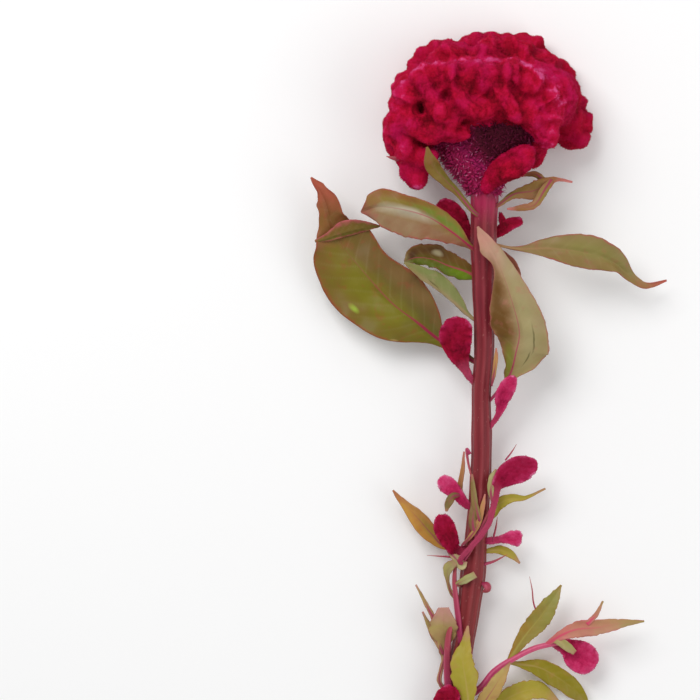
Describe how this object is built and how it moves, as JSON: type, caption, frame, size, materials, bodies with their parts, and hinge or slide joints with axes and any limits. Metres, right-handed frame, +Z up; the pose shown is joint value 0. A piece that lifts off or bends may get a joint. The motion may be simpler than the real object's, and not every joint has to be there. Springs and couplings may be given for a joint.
{
  "type": "cockscomb celosia",
  "caption": "Cut cockscomb celosia lying on its back: a ribbed stem with a velvet folded comb, floret field, waved leaves and small side combs.",
  "frame": {"origin": "centre of the bounding box in X and Y, on the surface that the flower lies on", "axes": "+Y runs from the cut end of the stem to the comb, +Z is up from the surface, +X is to the right when seen from above"},
  "size_m": [0.1793, 0.3601, 0.0593],
  "materials": {
    "stem_skin": "satin plant skin, crimson with paler ribs",
    "crest_velvet": "deep velvet, crimson",
    "floret_purple": "matt papery bracts, dark purple",
    "leaf_olive": "satin leaf, olive with pink edge",
    "leaf_lime": "satin leaf, yellow green",
    "leaf_blush": "satin leaf, green flushed with pink",
    "comb_crimson": "velvet, dark crimson",
    "comb_pink": "velvet, magenta pink",
    "shoot_pink": "satin plant skin, pink"
  },
  "bodies": {
    "root": {"bract_across_stem": "leaf_lime", "bract_left_orange": "leaf_blush", "bract_left_thin": "leaf_blush", "bract_on_comb": "leaf_olive", "bract_pale_left": "leaf_lime", "bract_right_green": "leaf_lime", "bract_right_lower": "leaf_lime", "bract_stem_front": "leaf_lime", "comb_left_1": "comb_crimson", "comb_left_2": "comb_crimson", "comb_left_3": "comb_pink", "comb_left_4": "comb_crimson", "comb_low_left": "comb_crimson", "comb_right_1": "comb_crimson", "comb_right_2": "comb_pink", "comb_right_3": "comb_pink", "comb_right_4": "comb_pink", "comb_shoot": "comb_pink", "crest": "crest_velvet", "floret_bed": "floret_purple", "leaf_behind_right": "leaf_blush", "leaf_curled_left": "leaf_lime", "leaf_front": "leaf_olive", "leaf_hooked": "leaf_blush", "leaf_large_left": "leaf_olive", "leaf_left_shoot": "leaf_lime", "leaf_low_front": "leaf_lime", "leaf_low_middle": "leaf_blush", "leaf_low_right": "leaf_lime", "leaf_narrow_left": "leaf_lime", "leaf_right": "leaf_olive", "leaf_shoot_low": "leaf_lime", "leaf_shoot_tip": "leaf_blush", "leaf_shoot_upright": "leaf_lime", "leaf_under_head": "leaf_lime", "leaf_upper_left": "leaf_olive", "shoot_right": "shoot_pink", "stem": "stem_skin"}
  },
  "joints": []
}
